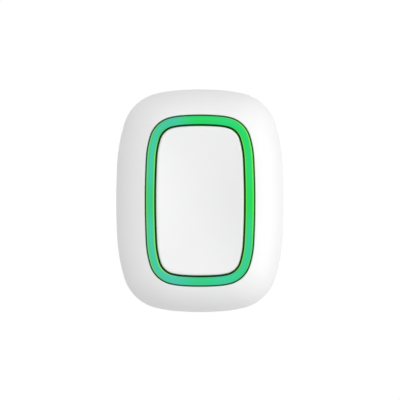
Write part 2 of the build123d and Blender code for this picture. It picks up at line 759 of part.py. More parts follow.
def switch_terminals():
    """Four bent legs, soldered to the board beside the base."""
    half = SWITCH_SIZE / 2
    legs = []
    for side in (-1, 1):
        for y in (-SWITCH_LEG_SPACING / 2, SWITCH_LEG_SPACING / 2):
            near = side * half
            knee = side * (half + SWITCH_LEG_SHEET)
            toe = side * (half + SWITCH_LEG_FOOT)
            y_low = y - SWITCH_LEG_WIDTH / 2
            y_high = y + SWITCH_LEG_WIDTH / 2
            upright = box_between(
                (min(near, knee), y_low, BOARD_TOP),
                (max(near, knee), y_high, BOARD_TOP + SWITCH_LEG_HEIGHT),
            )
            foot = box_between(
                (min(near, toe), y_low, BOARD_TOP),
                (max(near, toe), y_high, BOARD_TOP + SWITCH_LEG_SHEET),
            )
            legs.append(upright + foot)
    return Compound(legs)


def led(x, y, turn):
    """One light source: a base slab and a slightly smaller lens on it."""
    base = box_between(
        (-LED_LENGTH / 2, -LED_WIDTH / 2, BOARD_TOP),
        (LED_LENGTH / 2, LED_WIDTH / 2, BOARD_TOP + LED_BASE_HEIGHT),
    )
    lens_half_length = LED_LENGTH / 2 - LED_LENS_INSET
    lens = box_between(
        (-lens_half_length, -LED_WIDTH / 2, BOARD_TOP),
        (lens_half_length, LED_WIDTH / 2, LED_TOP),
    )
    return Pos(x, y, 0) * Rot(0, 0, turn) * (base + lens)


def radio_chip():
    """The radio and processor chip, with one corner cut to mark its first pin."""
    half = CHIP_SIZE / 2
    place = Pos(CHIP_PLACE_X_SHARE * BOARD_HALF_WIDTH, CHIP_PLACE_Y_SHARE * BOARD_HALF_LENGTH, 0)
    chip = box_between((-half, -half, BOARD_TOP), (half, half, BOARD_TOP + CHIP_HEIGHT))
    marked = chip.edges().filter_by(Axis.Z).sort_by(Axis.X)[0]
    return place * chamfer(marked, CHIP_CORNER)


def crystal_can():
    """The metal can of the frequency reference."""
    x = CRYSTAL_PLACE_X_SHARE * BOARD_HALF_WIDTH
    y = CRYSTAL_PLACE_Y_SHARE * BOARD_HALF_LENGTH
    half_length = CRYSTAL_LENGTH / 2
    half_width = CRYSTAL_WIDTH / 2
    return box_between(
        (x - half_length, y - half_width, BOARD_TOP),
        (x + half_length, y + half_width, BOARD_TOP + CRYSTAL_HEIGHT),
    )


def board_passives():
    """Rows of small resistors and capacitors."""
    first_x = PASSIVE_PLACE_X_SHARE * BOARD_HALF_WIDTH
    first_y = PASSIVE_PLACE_Y_SHARE * BOARD_HALF_LENGTH
    pieces = []
    for row in range(PASSIVE_ROWS):
        for column in range(PASSIVE_COLUMNS):
            x = first_x + (row - (PASSIVE_ROWS - 1) / 2) * PASSIVE_PITCH
            y = first_y + (column - (PASSIVE_COLUMNS - 1) / 2) * PASSIVE_PITCH
            pieces.append(
                box_between(
                    (x - PASSIVE_LENGTH / 2, y - PASSIVE_WIDTH / 2, BOARD_TOP),
                    (x + PASSIVE_LENGTH / 2, y + PASSIVE_WIDTH / 2, BOARD_TOP + PASSIVE_HEIGHT),
                )
            )
    return Compound(pieces)


def antenna():
    """The stamped strip: raised on two legs, with feet on the board and one end turned back."""
    y = ANTENNA_PLACE_Y_SHARE * BOARD_HALF_LENGTH
    half = ANTENNA_LENGTH / 2
    half_strip = ANTENNA_STRIP / 2
    strip_top = BOARD_TOP + ANTENNA_HEIGHT
    strip_low = strip_top - ANTENNA_SHEET
    bar = box_between((-half, y - half_strip, strip_low), (half, y + half_strip, strip_top))
    turned = box_between(
        (half - ANTENNA_STRIP, y - ANTENNA_RETURN, strip_low), (half, y + half_strip, strip_top)
    )
    piece = bar + turned
    for x in (-half, 0):
        leg_right = x + ANTENNA_SHEET
        piece = piece + box_between(
            (x, y - half_strip, BOARD_TOP), (leg_right, y + half_strip, strip_top)
        )
        piece = piece + box_between(
            (x, y - half_strip, BOARD_TOP),
            (leg_right + ANTENNA_FOOT, y + half_strip, BOARD_TOP + ANTENNA_SHEET),
        )
    return piece


def battery_holder():
    """The cradle under the board: walls round the cell, open at one end and at the contact.

    Its corners are cut so that the wall is as thick there as on the sides.
    """
    inner = CELL_DIAMETER + 2 * HOLDER_GAP
    outer = inner + 2 * HOLDER_WALL
    low = CELL_LOW + HOLDER_RISE
    half = outer / 2
    block = box_between((-half, CELL_Y - half, low), (half, CELL_Y + half, BOARD_LOW))
    block = chamfer(block.edges().filter_by(Axis.Z), half * (2 - sqrt(2)))
    wall = block - disc(inner, low, BOARD_LOW, 0, CELL_Y)
    half_mouth = radians(HOLDER_MOUTH_ANGLE) / 2
    mouth_x = outer * sin(half_mouth)
    mouth_y = CELL_Y - outer * cos(half_mouth)
    mouth = extrude(
        Pos(0, 0, low)
        * make_face(Polyline((0, CELL_Y), (-mouth_x, mouth_y), (mouth_x, mouth_y), close=True)),
        BOARD_LOW - low,
    )
    half_window = CONTACT_WIDTH / 2 + HOLDER_WINDOW_GAP
    window = box_between(
        (0, CELL_Y - half_window, low + HOLDER_BAND), (outer, CELL_Y + half_window, BOARD_LOW)
    )
    return wall - mouth - window


def battery_contact_positive():
    """The stamped strip that touches the cell's side, with a foot on the board."""
    x = CELL_DIAMETER / 2
    low = CELL_LOW + HOLDER_RISE + HOLDER_BAND + HOLDER_CONTACT_GAP
    y_low = CELL_Y - CONTACT_WIDTH / 2
    y_high = CELL_Y + CONTACT_WIDTH / 2
    upright = box_between((x, y_low, low), (x + CONTACT_SHEET, y_high, BOARD_LOW))
    foot = box_between(
        (x, y_low, BOARD_LOW - CONTACT_SHEET), (x + CONTACT_FOOT, y_high, BOARD_LOW)
    )
    return upright + foot


def battery_contact_negative():
    """The stamped spring between the board and the cell's cap, with two bent fingers."""
    half_middle = CONTACT_SPRING_MIDDLE / 2
    half_span = CONTACT_SPRING_SPAN / 2
    knee = half_span - CONTACT_TOUCH_LENGTH
    high = BOARD_LOW
    under = BOARD_LOW - CONTACT_SHEET
    touch = CELL_TOP + CONTACT_SHEET
    right = [
        (half_middle, high),
        (knee, touch),
        (half_span, touch),
        (half_span, CELL_TOP),
        (knee, CELL_TOP),
        (half_middle, under),
    ]
    return Pos(0, CELL_Y, 0) * bent_strip(right, CONTACT_WIDTH)


def battery_can():
    """The cell's steel can with its filling."""
    return disc(CELL_DIAMETER, CELL_LOW, CELL_TOP - CELL_CAP_STEP, 0, CELL_Y)


def battery_cap():
    """The cell's steel cap, its negative side."""
    diameter = CELL_DIAMETER - 2 * CELL_RIM_WIDTH
    return disc(diameter, CELL_TOP - CELL_CAP_STEP, CELL_TOP, 0, CELL_Y)


PIECES = {
    "front_housing": front_housing(),
    "rear_cover": rear_cover(),
    "case_seal": case_seal(),
    "light_ring": light_ring(),
    "button_cap": button_cap(),
    "cap_membrane": cap_membrane(),
    "inner_frame": inner_frame(),
    "circuit_board": circuit_board(),
    "switch_base": switch_base(),
    "switch_frame": switch_frame(),
    "switch_dome": switch_dome(),
    "switch_plunger": switch_plunger(),
    "switch_terminals": switch_terminals(),
    "led_right": led(LEG_X, 0, 90),
    "led_left": led(-LEG_X, 0, 90),
    "led_top": led(0, LEG_Y, 0),
    "led_bottom": led(0, -LEG_Y, 0),
    "radio_chip": radio_chip(),
    "crystal_can": crystal_can(),
    "board_passives": board_passives(),
    "antenna": antenna(),
    "battery_holder": battery_holder(),
    "battery_contact_positive": battery_contact_positive(),
    "battery_contact_negative": battery_contact_negative(),
    "battery_can": battery_can(),
    "battery_cap": battery_cap(),
}

os.makedirs("parts", exist_ok=True)
for name, shape in PIECES.items():
    export_step(shape, f"parts/{name}.step")
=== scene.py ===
from math import acos, asin, atan2, cos, pi, radians, sin

import bmesh
import bpy
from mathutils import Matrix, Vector


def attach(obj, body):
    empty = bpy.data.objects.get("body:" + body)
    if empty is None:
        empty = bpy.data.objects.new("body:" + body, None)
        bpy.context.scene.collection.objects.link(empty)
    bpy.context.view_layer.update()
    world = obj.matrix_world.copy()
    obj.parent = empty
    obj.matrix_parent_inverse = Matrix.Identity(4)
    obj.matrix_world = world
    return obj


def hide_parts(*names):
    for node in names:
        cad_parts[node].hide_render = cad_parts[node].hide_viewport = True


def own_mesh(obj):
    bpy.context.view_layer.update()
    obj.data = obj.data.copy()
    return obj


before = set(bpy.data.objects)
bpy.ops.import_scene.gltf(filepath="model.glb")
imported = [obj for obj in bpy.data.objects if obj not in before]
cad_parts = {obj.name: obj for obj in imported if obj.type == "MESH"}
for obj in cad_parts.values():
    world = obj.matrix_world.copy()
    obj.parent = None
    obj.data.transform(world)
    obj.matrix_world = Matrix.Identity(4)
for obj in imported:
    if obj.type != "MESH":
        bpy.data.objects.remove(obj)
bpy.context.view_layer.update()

MM = 0.001

# Rear cover: the snap-on back shell of the button, moulded in white plastic with a
# fine spark texture. It is flat to lie on a table, rounded up to a shadow seam, and
# has a slot for a coin at its lower end and a hole for a lanyard at its upper end.


def effect(name, takes, gives):
    """A shader node group with named sockets, and the nodes at its two ends."""
    group = bpy.data.node_groups.new(name, "ShaderNodeTree")
    for socket, value in takes.items():
        coloured = isinstance(value, tuple)
        kind = "NodeSocketColor" if coloured else "NodeSocketFloat"
        taken = group.interface.new_socket(socket, in_out="INPUT", socket_type=kind)
        taken.default_value = (*value, 1) if coloured else value
    for socket, kind in gives.items():
        group.interface.new_socket(socket, in_out="OUTPUT", socket_type=kind)
    return group, group.nodes.new("NodeGroupInput"), group.nodes.new("NodeGroupOutput")


FINISH_GIVES = {
    "Colour": "NodeSocketColor",
    "Roughness": "NodeSocketFloat",
    "Height": "NodeSocketFloat",
}


def give_finish(group, given, result, cloud, shine, relief):
    """Ends a finish: a cloud blends its two colours, a shine goes from its smoothest to
    its roughest, and a relief is its height."""
    nodes, links = group.nodes, group.links
    tint = nodes.new("ShaderNodeMix")
    tint.data_type = "RGBA"
    polish = nodes.new("ShaderNodeMapRange")
    links.new(cloud, tint.inputs["Factor"])
    links.new(given.outputs["Colour"], tint.inputs["A"])
    links.new(given.outputs["Shade"], tint.inputs["B"])
    links.new(shine, polish.inputs["Value"])
    links.new(given.outputs["Smoothest"], polish.inputs["To Min"])
    links.new(given.outputs["Roughest"], polish.inputs["To Max"])
    links.new(tint.outputs["Result"], result.inputs["Colour"])
    links.new(polish.outputs["Result"], result.inputs["Roughness"])
    links.new(relief, result.inputs["Height"])


def moulded_finish():
    """Spark-textured moulded plastic: a fine grain and a slight unevenness."""
    group, given, result = effect("moulded_finish", {
        "Colour": (0.8, 0.8, 0.8),
        "Shade": (0.7, 0.7, 0.7),
        "Grain per mm": 5.0,
        "Smoothest": 0.4,
        "Roughest": 0.6,
    }, FINISH_GIVES)
    nodes, links = group.nodes, group.links
    place = nodes.new("ShaderNodeTexCoord")
    per_metre = nodes.new("ShaderNodeMath")
    per_metre.operation = "MULTIPLY"
    per_metre.inputs[1].default_value = 1 / MM
    grain = nodes.new("ShaderNodeTexNoise")
    grain.inputs["Detail"].default_value = 3
    flow = nodes.new("ShaderNodeTexNoise")
    flow.inputs["Scale"].default_value = 160
    flow.inputs["Detail"].default_value = 4
    links.new(given.outputs["Grain per mm"], per_metre.inputs[0])
    links.new(per_metre.outputs[0], grain.inputs["Scale"])
    links.new(place.outputs["Object"], grain.inputs["Vector"])
    links.new(place.outputs["Object"], flow.inputs["Vector"])
    cloud, relief = flow.outputs["Fac"], grain.outputs["Fac"]
    give_finish(group, given, result, cloud, cloud, relief)
    return group


MOULDED = moulded_finish()


def surfaced(name, finish, values, relief, depth):
    """A material whose colour, roughness and relief come from a finish."""
    material = bpy.data.materials.new(name)
    material.use_nodes = True
    nodes, links = material.node_tree.nodes, material.node_tree.links
    surface = nodes["Principled BSDF"]
    coating = nodes.new("ShaderNodeGroup")
    coating.node_tree = finish
    for socket, value in values.items():
        coating.inputs[socket].default_value = value
    bump = nodes.new("ShaderNodeBump")
    bump.inputs["Strength"].default_value = relief
    bump.inputs["Distance"].default_value = depth
    links.new(coating.outputs["Colour"], surface.inputs["Base Color"])
    links.new(coating.outputs["Roughness"], surface.inputs["Roughness"])
    links.new(coating.outputs["Height"], bump.inputs["Height"])
    links.new(bump.outputs["Normal"], surface.inputs["Normal"])
    return material


def moulded(name, colour, shade, grain=5.0, smoothest=0.4, roughest=0.6, relief=0.25):
    """A moulded plastic, rubber or ceramic of its own colour."""
    values = {
        "Colour": (*colour, 1),
        "Shade": (*shade, 1),
        "Grain per mm": grain,
        "Smoothest": smoothest,
        "Roughest": roughest,
    }
    return surfaced(name, MOULDED, values, relief, 0.01 * MM)


# Half width, half length, and the radii of side shoulder, corner and end shoulder, in
# millimetres as all sizes here. The meetings are how far the outline has turned where
# two arcs meet, and the steps are the facets of each arc from side to end.
BODY = (17.65, 23.5, 34.4, 9.3, 28.0)
MEETINGS = [radians(turn) for turn in (2.94, 17.3, 76.35, 85.75)]
ARC_STEPS = (6, 4, 18, 4, 6)


def grown(outline, by):
    """The parallel outline, further out by a distance."""
    return tuple(size + by for size in outline)


def around(outline):
    """Points round a rounded rectangle with crowned sides and ends, in tangent arcs.
    The radii of side and end follow from the others: two equations, one for what is
    left of the width and one for what is left of the length."""
    half_width, half_length, *radii = outline
    x, y = half_width, half_length
    for radius, start, stop in zip(radii, MEETINGS, MEETINGS[1:]):
        x -= radius * (cos(start) - cos(stop))
        y -= radius * (sin(stop) - sin(start))
    side_rise, side_bow = sin(MEETINGS[0]), 1 - cos(MEETINGS[0])
    end_rise, end_bow = cos(MEETINGS[-1]), 1 - sin(MEETINGS[-1])
    determinant = side_bow * end_bow - side_rise * end_rise
    side = (x * end_bow - y * end_rise) / determinant
    end = (y * side_bow - x * side_rise) / determinant
    x, y = half_width, 0
    quarter = []
    turns = (0, *MEETINGS, pi / 2)
    arcs = zip((side, *radii, end), turns, turns[1:], ARC_STEPS)
    for radius, start, stop, steps in arcs:
        middle_x, middle_y = x - radius * cos(start), y - radius * sin(start)
        for step in range(steps):
            turn = start + (stop - start) * step / steps
            quarter.append((middle_x + radius * cos(turn), middle_y + radius * sin(turn)))
        x, y = middle_x + radius * cos(stop), middle_y + radius * sin(stop)
    upper = quarter + [(0, half_length)] + [(-x, y) for x, y in reversed(quarter[1:])]
    return upper + [(-half_width, 0)] + [(-x, -y) for x, y in upper[1:]]


def ring_at(outline, z):
    """An outline's points at a height."""
    return [(x, y, z) for x, y in around(outline)]


def skin(mesh, loops, closed=False, floor=None, roof=None, slots=None):
    """Joins rings of points into one surface, closed on itself or ended by fans of faces
    round a middle point of its floor and roof. Slots gives each band its material."""
    rings = [[mesh.verts.new(Vector(point) * MM) for point in loop] for loop in loops]
    following = rings[1:] + rings[:1] if closed else rings[1:]
    for index, (low, high) in enumerate(zip(rings, following)):
        for here in range(len(low)):
            after = (here + 1) % len(low)
            face = mesh.faces.new((low[here], low[after], high[after], high[here]))
            face.material_index = slots[index] if slots else 0
    for ring, tip, band in ((rings[0], floor, 0), (rings[-1], roof, -1)):
        if tip is not None:
            point = mesh.verts.new(Vector(tip) * MM)
            for here in range(len(ring)):
                face = mesh.faces.new((ring[here], ring[(here + 1) % len(ring)], point))
                face.material_index = slots[band] if slots else 0


def smoothed(piece, sharp):
    """Shades a piece smooth, but for edges sharper than so many degrees."""
    piece.data.shade_smooth()
    piece.data.set_sharp_from_angle(angle=radians(sharp))


def finished(name, mesh, *materials, sharp=35):
    """Turns built faces into a named piece."""
    bmesh.ops.recalc_face_normals(mesh, faces=mesh.faces)
    data = bpy.data.meshes.new(name)
    mesh.to_mesh(data)
    mesh.free()
    piece = bpy.data.objects.new(name, data)
    bpy.context.scene.collection.objects.link(piece)
    for material in materials:
        data.materials.append(material)
    smoothed(piece, sharp)
    return piece


def block(name, material, low, high):
    """A block from its lowest corner to its highest."""
    mesh = bmesh.new()
    (x, y, z), (far_x, far_y, top) = low, high
    corners = ((x, y), (far_x, y), (far_x, far_y), (x, far_y))
    foot = [mesh.verts.new(Vector((a, b, z)) * MM) for a, b in corners]
    head = [mesh.verts.new(Vector((a, b, top)) * MM) for a, b in corners]
    mesh.faces.new(foot[::-1])
    mesh.faces.new(head)
    for here in range(4):
        after = (here + 1) % 4
        mesh.faces.new((foot[here], foot[after], head[after], head[here]))
    return finished(name, mesh, material)


def cut(piece, tool, how="DIFFERENCE"):
    """Cuts a tool out of a piece, or joins it on, for good."""
    change = piece.modifiers.new("cut", "BOOLEAN")
    change.operation = how
    change.solver = "EXACT"
    change.object = tool
    whole = piece.evaluated_get(bpy.context.evaluated_depsgraph_get())
    data = bpy.data.meshes.new_from_object(whole)
    piece.modifiers.clear()
    piece.data = data
    bpy.data.objects.remove(tool)


PARTING, SEAM_LOW, SKIRT_TOP = 6.4, 6.1, 8.4
COVER_INSET, COVER_FLOOR, COVER_CURVE_STEPS = 2.9, 1.3, 16
COVER_SHARP = 30
SEAM_INNER = grown(BODY, -0.35)
SKIRT_OUTER = grown(BODY, -1.6)
SKIRT_INNER = grown(BODY, -2.6)
WHITE, WHITE_SHADE = (0.86, 0.86, 0.86), (0.84, 0.84, 0.845)

cover_white = moulded("cover_white", WHITE, WHITE_SHADE)
cover_turn = acos(1 - SEAM_LOW / PARTING)
cover_rings = []
for step in range(COVER_CURVE_STEPS + 1):
    turn = cover_turn * step / COVER_CURVE_STEPS
    inset = COVER_INSET * (1 - sin(turn))
    cover_rings.append(ring_at(grown(BODY, -inset), PARTING * (1 - cos(turn))))
cover_rings += [
    ring_at(SEAM_INNER, SEAM_LOW),
    ring_at(SEAM_INNER, PARTING),
    ring_at(SKIRT_OUTER, PARTING),
    ring_at(SKIRT_OUTER, SKIRT_TOP),
    ring_at(SKIRT_INNER, SKIRT_TOP),
    ring_at(SKIRT_INNER, COVER_FLOOR),
]
shell = bmesh.new()
skin(shell, cover_rings, floor=(0, 0, 0), roof=(0, 0, COVER_FLOOR))
rear_cover = finished("back_cover", shell, cover_white)

# The block round the lanyard pocket and the posts that carry the board are joined on
POCKET_BLOCK = ((-3.6, 16.6, 0.6), (3.6, 21.4, 5.8))
POST_X, POST_Y, POST_LOW, POST_TOP = 8.97, 15.78, 0.9, 6.3
POST_HALF_LONG, POST_HALF_THIN = 1.3, 0.45
cut(rear_cover, block("pocket_block", cover_white, *POCKET_BLOCK), "UNION")
for side, end in ((1, 1), (-1, 1), (-1, -1), (1, -1)):
    x, y = side * POST_X, end * POST_Y
    for half_x, half_y in (
        (POST_HALF_LONG, POST_HALF_THIN),
        (POST_HALF_THIN, POST_HALF_LONG),
    ):
        low = (x - half_x, y - half_y, POST_LOW)
        high = (x + half_x, y + half_y, POST_TOP)
        cut(rear_cover, block("post_rib", cover_white, low, high), "UNION")

# The lanyard's pocket and hole and the coin slot are cut out
POCKET = ((-2.5, 17.7, 1.9), (2.5, 27, 4.9))
HOLE_Y, HOLE_RADIUS, HOLE_STEPS = 19, 1.3, 48
HOLE_LOW, HOLE_TOP = -1, 3
COIN_SLOT = ((-3.5, -27, 5.5), (3.5, -22.4, 6.4))
cut(rear_cover, block("pocket_tool", cover_white, *POCKET))
hole_round = []
for step in range(HOLE_STEPS):
    turn = 2 * pi * step / HOLE_STEPS
    hole_round.append((HOLE_RADIUS * cos(turn), HOLE_Y + HOLE_RADIUS * sin(turn)))
hole = bmesh.new()
hole_rings = [[(x, y, z) for x, y in hole_round] for z in (HOLE_LOW, HOLE_TOP)]
skin(hole, hole_rings, floor=(0, HOLE_Y, HOLE_LOW), roof=(0, HOLE_Y, HOLE_TOP))
cut(rear_cover, finished("hole_tool", hole, cover_white))
cut(rear_cover, block("slot_tool", cover_white, *COIN_SLOT))
smoothed(rear_cover, COVER_SHARP)
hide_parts("rear_cover")
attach(rear_cover, "body")

# Coin cell: a pressed steel can with a lid of the same sheet, in fine brushed nickel.
# It lies in the back under its sprung contacts, lid up.


def drawn_metal():
    """Pressed or brushed metal: fine lines one way and cloudy polish."""
    group, given, result = effect("drawn_metal", {
        "Colour": (0.7, 0.7, 0.7),
        "Shade": (0.5, 0.5, 0.5),
        "Smoothest": 0.2,
        "Roughest": 0.4,
    }, FINISH_GIVES)
    nodes, links = group.nodes, group.links
    place = nodes.new("ShaderNodeTexCoord")
    stretch = nodes.new("ShaderNodeMapping")
    stretch.inputs["Scale"].default_value = (300, 9000, 9000)
    lines = nodes.new("ShaderNodeTexNoise")
    lines.inputs["Scale"].default_value = 1
    clouds = nodes.new("ShaderNodeTexNoise")
    clouds.inputs["Scale"].default_value = 400
    links.new(place.outputs["Object"], stretch.inputs["Vector"])
    links.new(stretch.outputs["Vector"], lines.inputs["Vector"])
    links.new(place.outputs["Object"], clouds.inputs["Vector"])
    line = lines.outputs["Fac"]
    give_finish(group, given, result, clouds.outputs["Fac"], line, line)
    return group


METAL = drawn_metal()


def metal(name, colour, tarnish, smoothest=0.2, roughest=0.4):
    """A metal of its own colour."""
    values = {
        "Colour": (*colour, 1),
        "Shade": (*tarnish, 1),
        "Smoothest": smoothest,
        "Roughest": roughest,
    }
    material = surfaced(name, METAL, values, 0.1, 0.005 * MM)
    surface = material.node_tree.nodes["Principled BSDF"]
    surface.inputs["Metallic"].default_value = 1
    return material


def coat(node, material):
    """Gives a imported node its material."""
    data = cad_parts[node].data
    data.materials.clear()
    data.materials.append(material)


cell_steel = metal("cell_steel", (0.72, 0.72, 0.71), (0.62, 0.62, 0.62))
coat("battery_can", cell_steel)
coat("battery_cap", cell_steel)

# Battery holder: a black cradle moulded in one piece, open at the slot side, with
# two contacts of springy nickel-plated strip.
holder_black = moulded(
    "holder_black", (0.028, 0.028, 0.03), (0.04, 0.04, 0.043), grain=8
)
coat("battery_holder", holder_black)
contact_nickel = metal(
    "contact_nickel", (0.76, 0.74, 0.70), (0.66, 0.64, 0.60), smoothest=0.15, roughest=0.3
)
coat("battery_contact_positive", contact_nickel)
coat("battery_contact_negative", contact_nickel)

# Circuit board: glass laminate under green solder mask. It stands on the posts of the
# rear cover and carries the parts that follow, up to the light sources.
board_green = moulded(
    "board_green", (0.012, 0.16, 0.055), (0.02, 0.20, 0.07),
    grain=3, smoothest=0.25, roughest=0.4, relief=0.15,
)
coat("circuit_board", board_green)

# Radio chip, crystal can and small parts: black epoxy, a welded metal can, and brown
# ceramic chips soldered in rows.
chip_black = moulded(
    "chip_black", (0.018, 0.018, 0.02), (0.03, 0.03, 0.032),
    grain=12, smoothest=0.45, roughest=0.6,
)
coat("radio_chip", chip_black)
can_nickel = metal(
    "can_nickel", (0.80, 0.79, 0.76), (0.72, 0.71, 0.69), smoothest=0.2, roughest=0.35
)
coat("crystal_can", can_nickel)
chip_ceramic = moulded(
    "chip_ceramic", (0.30, 0.20, 0.13), (0.22, 0.15, 0.10),
    grain=10, smoothest=0.35, roughest=0.5,
)
coat("board_passives", chip_ceramic)

# Antenna: a strip stamped from tinned brass and folded over the board, where it is
# soldered on its two legs.
tinned_brass = metal(
    "tinned_brass", (0.78, 0.72, 0.58), (0.70, 0.62, 0.44), smoothest=0.25, roughest=0.4
)
coat("antenna", tinned_brass)


def springy(name, node, material):
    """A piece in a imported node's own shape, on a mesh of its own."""
    piece = bpy.data.objects.new(name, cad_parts[node].data.copy())
    bpy.context.scene.collection.objects.link(piece)
    piece.data.materials.clear()
    piece.data.materials.append(material)
    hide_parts(node)
    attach(piece, "body")
    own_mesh(piece)


switch_black = moulded(
    "switch_black", (0.022, 0.022, 0.024), (0.032, 0.032, 0.035), grain=10
)
coat("switch_base", switch_black)
coat("switch_terminals", tinned_brass)
switch_steel = metal("switch_steel", (0.70, 0.70, 0.71), (0.60, 0.60, 0.61))
coat("switch_frame", switch_steel)
springy("sprung_cross", "switch_dome", switch_steel)
plunger_cream = moulded("plunger_cream", (0.70, 0.66, 0.56), (0.66, 0.62, 0.52), grain=8)
coat("switch_plunger", plunger_cream)

# Light sources: four tiny soldered packages with clear lenses, one under each leg of
# the ring, lit green.
led_green = moulded(
    "led_green", (0.3, 0.7, 0.4), (0.3, 0.7, 0.4),
    grain=6, smoothest=0.2, roughest=0.35, relief=0.1,
)
led_surface = led_green.node_tree.nodes["Principled BSDF"]
led_surface.inputs["Emission Color"].default_value = (0.05, 0.85, 0.25, 1)
led_surface.inputs["Emission Strength"].default_value = 2.0
for led in ("led_top", "led_right", "led_bottom", "led_left"):
    coat(led, led_green)

# Inner frame: an opaque black moulding that stands on the board, carries the ring and
# keeps the light of the four sources apart.
frame_black = moulded("frame_black", (0.03, 0.03, 0.032), (0.042, 0.042, 0.045), grain=7)
coat("inner_frame", frame_black)

# Seal and membrane: soft pale silicone, one between the shells, one under the pad. The
# membrane gives way while the pad is pressed.
silicone = moulded(
    "silicone", (0.62, 0.62, 0.60), (0.57, 0.57, 0.55),
    grain=4, smoothest=0.5, roughest=0.7,
)
coat("case_seal", silicone)
springy("pad_membrane", "cap_membrane", silicone)

# Light ring: one clear milky moulding whose rounded crest stands a little proud, held
# on the inner frame by a flange under the housing's lip. The sources below light it
# through its four legs: green at the upper right, and teal toward the lower left.
# The outlines of ring and opening run parallel to the pad's.
PAD = (9.245, 15.72, 16.7, 3.53, 12.1)
RING_INNER, RING_WIDTH, RING_FLANGE = 0.4, 1.67, 2.92
RING_LOW, LIP_LOW, RING_TOP = 13.0, 14.35, 16.0
CREST_RISE, CREST_STEPS = 0.45, 16
RING_SHARP = 50
CREST, WALL = 0, 1

# Where the light changes: teal turns bluer leftward over the first pair, green gives
# way to teal over the second, and each green place has its share of the effect
BLUER_TO_LEFT = (-8, 8)
GREEN_TO_TEAL = (-9.0, -3.4)
TO_LOWER_LEFT = (-0.852, -0.523)
GREEN_PLACES = (
    (10.5, 0, 1), (0, 17, 1), (-10.5, 0, 1), (0, -17, 1),
    (9.3, 14, 0.4), (-7, 16, 0.4), (8.5, -15, 0.2),
)
GREEN_REACH, GREEN_CORE = 6, 0.5

# How far the crest has to face a way for each change and painted highlight to start and
# to be whole, and the places where its brighter painted highlight is dim, with their
# reach
TURNED = (0.08, 0.5)
HIGHLIGHT_TO_LEFT, HIGHLIGHT_TO_LEFT_SHARE = (-0.3, -0.85), 0.75
HIGHLIGHT_TO_RIGHT = (0.25, 0.75)
TO_UPPER_RIGHT = (0.90, 0.44)
DIM_HIGHLIGHT_PLACES = ((11, -13, 12), (-9, 14, 5))
DIM_CORE = 0.1


